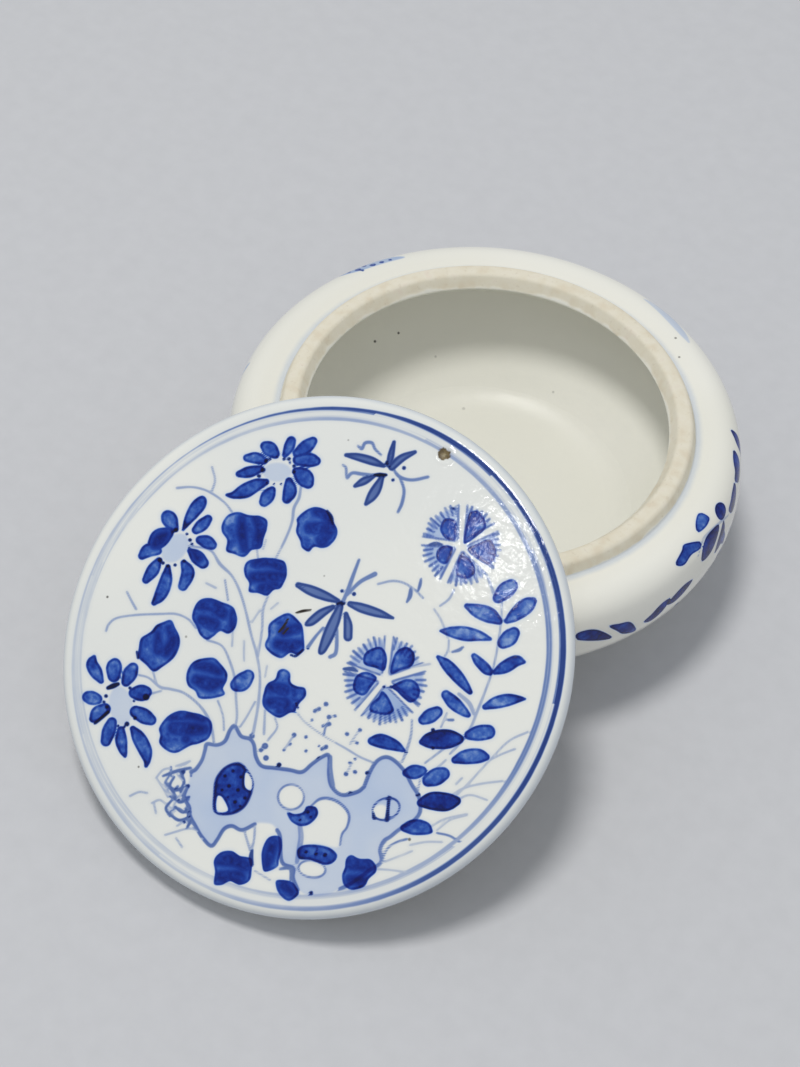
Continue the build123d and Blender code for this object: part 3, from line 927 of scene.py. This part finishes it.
def porcelain(name, white, cream, specks, dull_floor):
    """Glazed body with cobalt under the glaze, bare clay, and specks as place, radius, strength."""
    n = Nodes(name)
    coords = n.add("TexCoord").outputs["Object"]
    fine, mid, broad = (n.noise(scale, 2.0, coords) for scale in (1400.0, 420.0, 90.0))
    wide = n.noise(22.0, 1.0, coords)
    depth, tone, marks = (n.attribute(key) for key in ("paint_depth", "paint_tone", "marks"))

    def distance(channel, wobble):
        d = n.scaled(channel, 2 * FAR, -FAR)
        return n.math("ADD", d, n.scaled(mid, wobble * 2, -wobble))

    # Pigment in fills: a pale wash, fills with a darker edge, and heavier strokes laid over them
    soft = 0.99
    fill_d = distance(depth[FILL], 0.7)
    dark_d = n.scaled(fine, 9.0, n.math("ADD", distance(depth[DARK], 5.0), -4.5))
    line_d = distance(depth[LINE], 0.35)
    wash_c = n.fade(distance(depth[WASH], 0.5), -2.6, 1.6)
    fill_c = n.fade(fill_d, -soft, soft)
    dark_c = n.math("MULTIPLY", n.scaled(n.fade(dark_d, -3.6, 2.4), 0.92), fill_c)
    line_c = n.fade(line_d, -soft, soft)
    streak = n.scaled(mid, 0.8, -0.4)
    grain = n.scaled(fine, 0.4, -0.2)
    wash = n.math("MULTIPLY", n.math("MULTIPLY", tone[WASH], wash_c), n.scaled(broad, 1.8, 0.1))
    edge = n.fade(n.math("ABSOLUTE", n.math("ADD", fill_d, 1.3)), 0.3, 2.2)
    fill = n.math("ADD", n.scaled(edge, 0.2, n.math("ADD", tone[FILL], streak)), grain)
    density = n.mix(fill_c, wash, fill)
    heavy = n.math("ADD", n.scaled(streak, 0.5, tone[DARK]), grain)
    density = n.mix(dark_c, density, n.math("MAXIMUM", density, heavy))
    halo = n.scaled(n.fade(fill_d, -1.0, 5.0), 0.045)
    density = n.math("MAXIMUM", density, halo, clamp=True)

    # Drawn lines, paler along the middle where they are dark and broad
    core = n.scaled(n.fade(line_d, -3.8, -1.6), -0.2)
    core = n.math("MULTIPLY", core, n.fade(tone[LINE], 0.74, 0.8))
    drawn = n.scaled(broad, 0.16, n.math("ADD", tone[LINE], -0.08))
    drawn = n.math("MULTIPLY", n.math("ADD", drawn, core), line_c)
    drawn = n.math("MAXIMUM", drawn, n.scaled(n.fade(line_d, -1.0, 4.5), 0.03), clamp=True)

    glaze = n.mix_color(n.fade(wide, 0.4, 0.6), linear(*white), linear(*cream))
    cobalt = n.ramp(
        density,
        (0.0, 255, 255, 255), (0.08, 226, 234, 252), (0.16, 204, 219, 250),
        (0.26, 176, 199, 243), (0.38, 128, 160, 226), (0.5, 72, 116, 208),
        (0.62, 38, 84, 190), (0.74, 16, 58, 166), (0.86, 3, 36, 138), (1.0, 2, 18, 92),
    )
    ink = n.ramp(
        drawn,
        (0.0, 255, 255, 255), (0.12, 222, 228, 242), (0.25, 182, 196, 230),
        (0.4, 126, 150, 208), (0.55, 78, 106, 178), (0.7, 44, 72, 150),
        (0.85, 14, 32, 104), (1.0, 4, 8, 34),
    )
    color = n.mix_color(1.0, n.mix_color(1.0, glaze, cobalt, "MULTIPLY"), ink, "MULTIPLY")

    speck_c = n.fade(distance(marks[0], 0.4), -0.6, 0.6)
    for place, radius, strength in specks:
        spot = n.fade(n.reach(coords, place), radius * 0.4, radius * 1.3)
        speck_c = n.math("MAXIMUM", speck_c, n.scaled(spot, strength))
    color = n.mix_color(speck_c, color, linear(40, 33, 29))
    pit_d = n.math("ADD", distance(marks[1], 1.0), n.scaled(fine, 8.0, -4.0))
    pit_c = n.fade(pit_d, -1.5, 0.6)
    pit_color = n.mix_color(n.fade(pit_d, -6.0, -2.5), linear(120, 104, 70), linear(168, 156, 122))
    pit_grit = n.scaled(n.fade(fine, 0.45, 0.55), 0.7)
    color = n.mix_color(pit_c, color, n.mix_color(pit_grit, pit_color, linear(84, 70, 46)))
    # Channel 3 blends in grey-blue: pooled glaze at the box's neck, painted shade round the lid's
    # edge
    pooled_glaze_and_edge_shade = n.scaled(n.fade(distance(marks[3], 0.6), -2.0, 3.0), 0.75)
    color = n.mix_color(pooled_glaze_and_edge_shade, color, linear(196, 206, 218))
    bare_c = n.fade(distance(marks[2], 1.6), -0.8, 1.0)
    clay = n.ramp(
        mid,
        (0.3, 224, 214, 192), (0.46, 229, 222, 202), (0.6, 232, 226, 208), (0.76, 229, 219, 202),
    )
    clay_grit = n.scaled(n.fade(fine, 0.3, 0.38), 0.14)
    color = n.mix_color(bare_c, color, n.mix_color(clay_grit, clay, linear(176, 160, 134)))

    rough = n.mix(n.scaled(density, 0.4), n.scaled(mid, 0.05, 0.07), 0.17)
    if dull_floor:
        from_floor = n.reach(coords, (0.0, 0.0, 0.012))
        rough = n.mix(n.fade(from_floor, 0.023, 0.028), rough, 0.4)
    rough = n.mix(bare_c, n.mix(pit_c, rough, 0.45), n.scaled(mid, 0.2, 0.62))
    height = n.scaled(mid, 0.55, n.scaled(broad, 0.16, wide))
    height = n.scaled(fine, 0.16, height)
    height = n.mix(bare_c, height, n.scaled(fine, 0.1, n.scaled(mid, 0.35)))
    bump = n.add("Bump", {"Strength": 0.35, "Distance": 0.00025, "Height": height})
    return n.surface(color, rough, 0.36, Normal=bump.outputs["Normal"])


def places(points, flat, shown, spots):
    """Where small specks lie: the point of the mesh that the photograph shows at each pixel."""
    out = []
    for x, y, radius, strength in listed(spots):
        d = np.hypot(*(flat - (x, y)).T) + np.where(shown, 0, 1e3)
        place = points[np.argmin(d)] * MM
        out.append((place.tolist(), radius / px_per_mm * MM, strength))
    return out


# Specks as pixel x and y, radius in pixels and strength
lid_specks = places(lid_verts, lid_flat, on_top, """
108,597,1.5,0.8 186,636,1.5,0.5 409,840,1.8,0.8 324,575,1.2,0.4 138,767,1.3,0.7 348,441,1.2,0.4
""")
normals = np.array([v.normal for v in box.data.vertices])[: len(box_points)]
to_eye = eye - box_points
facing = (normals * to_eye).sum(axis=1) > 0.05 * np.linalg.norm(to_eye, axis=1)
box_specks = places(box_points, to_photo(box_points), facing, """
375,340,1.8,0.9 399,332,1.6,0.9 675,338,1.6,0.7 679,358,1.5,0.7 435,356,1.6,0.3 463,405,2.2,0.25
554,390,1.6,0.3
""")
for piece, *looks in (
    (lid, "lid_porcelain", (238, 239, 233), (233, 235, 231), lid_specks, False),
    (box, "box_porcelain", (240, 239, 230), (236, 235, 225), box_specks, True),
):
    piece.data.materials.append(porcelain(*looks))

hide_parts("lid")
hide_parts("box")
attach(lid, "lid")
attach(box, "box")

# Plain pale floor, soft studio light, and the camera of the photograph
far = 2500.0
corners = [(-far, -far, 0), (far, -far, 0), (far, far, 0), (-far, far, 0)]
floor = make_mesh("floor", corners, [(0, 1, 2, 3)], {})
f = Nodes("floor_paper")
paper = f.noise(300.0, 3.0, f.add("TexCoord").outputs["Object"])
paper_color = f.mix_color(paper, linear(202, 203, 206), linear(210, 211, 214))
floor.data.materials.append(f.surface(paper_color, 0.9, 0.1))

world = bpy.data.worlds.new("studio")
world.use_nodes = True
background = world.node_tree.nodes["Background"]
background.inputs["Color"].default_value = (0.93, 0.96, 1.0, 1.0)
background.inputs["Strength"].default_value = 0.47
scene.world = world


def area_lamp(name, toward, size, power, color):
    """A round lamp one metre from the part, facing it; its size in metres, its power in watts."""
    lamp = bpy.data.lights.new(name, "AREA")
    lamp.shape = "DISK"
    lamp.size = size
    lamp.energy = power
    lamp.color = color
    obj = add_object(name, lamp)
    d = Vector(toward).normalized()
    obj.location = Vector((0, -0.02, 0.02)) + d
    obj.rotation_euler = d.to_track_quat("Z", "Y").to_euler()


area_lamp("key", (-0.115, -0.08, 0.99), 0.24, 4.7, (1.0, 0.985, 0.96))
area_lamp("glint", (-0.202, -0.372, 0.906), 0.022, 0.1, (1.0, 0.99, 0.97))

camera_data = bpy.data.cameras.new("camera")
camera_data.lens = camera_data.sensor_width * focal / photo_height
camera_data.clip_start = 0.01
camera_data.clip_end = 20.0
camera = add_object("camera", camera_data)
pose = np.eye(4)
pose[:3] = np.stack((cam_right, cam_up, -forward, eye * MM), axis=1)
camera.matrix_world = Matrix(pose)
scene.camera = camera
